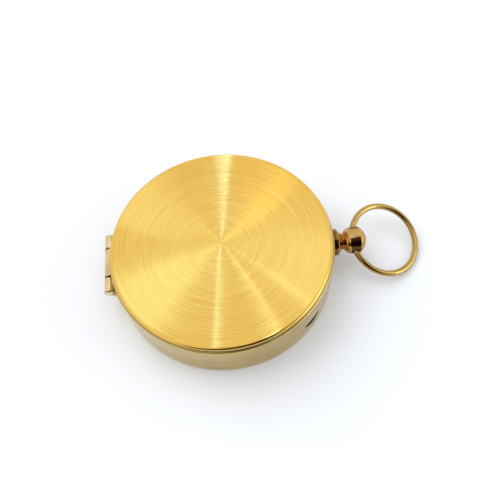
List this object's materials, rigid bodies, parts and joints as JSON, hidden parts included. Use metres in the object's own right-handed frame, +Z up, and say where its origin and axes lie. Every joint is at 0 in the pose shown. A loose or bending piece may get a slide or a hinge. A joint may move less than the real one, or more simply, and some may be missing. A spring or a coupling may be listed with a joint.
{
  "type": "pocket compass",
  "caption": "Flat round brass pocket compass with a hinged lid, turned pendant and bow ring, and a glazed needle compass inside.",
  "frame": {"origin": "centre of the case's flat base", "axes": "+Z up through the lid, +X outward along the pendant, so the hinge is at -X; the lid is shut and the bow ring lies on the table"},
  "size_m": [0.0737, 0.05, 0.0125],
  "materials": {
    "case_brass": "turned and polished",
    "lid_brass": "spun brushed top, polished edge",
    "hinge_brass": "polished",
    "hinge_pin_brass": "polished",
    "pendant_brass": "turned and polished",
    "fixing_brass": "as turned",
    "bow_brass": "polished wire",
    "silvered_dial": "matt silvered",
    "degree_ring_brass": "satin",
    "gasket_rubber": "matt",
    "crystal_glass": "clear",
    "spring_brass": "drawn wire",
    "hardened_steel": "ground",
    "blued_steel": "heat blued",
    "cap_brass": "turned and polished",
    "ruby": "polished"
  },
  "bodies": {
    "case": {"case_body": "case_brass", "hinge_case_leaf": "hinge_brass", "hinge_pin": "hinge_pin_brass", "pendant_stud": "pendant_brass", "pendant_washer": "fixing_brass", "pendant_nut": "fixing_brass", "dial_plate": "silvered_dial", "dial_screws": "fixing_brass", "degree_ring": "degree_ring_brass", "crystal_gasket": "gasket_rubber", "crystal": "crystal_glass", "crystal_retaining_ring": "spring_brass", "pivot_post": "fixing_brass", "pivot_pin": "hardened_steel"},
    "lid": {"lid": "lid_brass", "hinge_lid_leaf": "hinge_brass"},
    "bow": {"bow_ring": "bow_brass"},
    "needle": {"compass_needle": "blued_steel", "needle_cap": "cap_brass", "jewel_cup": "ruby", "needle_balance_rider": "cap_brass"}
  },
  "joints": [
    {"name": "lid_hinge", "type": "hinge", "parent": "case", "child": "lid", "pos_m": [-0.0262, 0.0015, 0.0061], "axis": [0, -1, 0], "range_deg": [0, 172]},
    {"name": "bow_swing", "type": "hinge", "parent": "case", "child": "bow", "pos_m": [0.0302, 0, 0.0063], "axis": [0, 0.9755, 0.2198], "range_deg": [-146, 108]},
    {"name": "needle_spin", "type": "hinge", "parent": "case", "child": "needle", "pos_m": [0, 0, 0.0073], "axis": [0, 0, 1], "continuous": true}
  ]
}
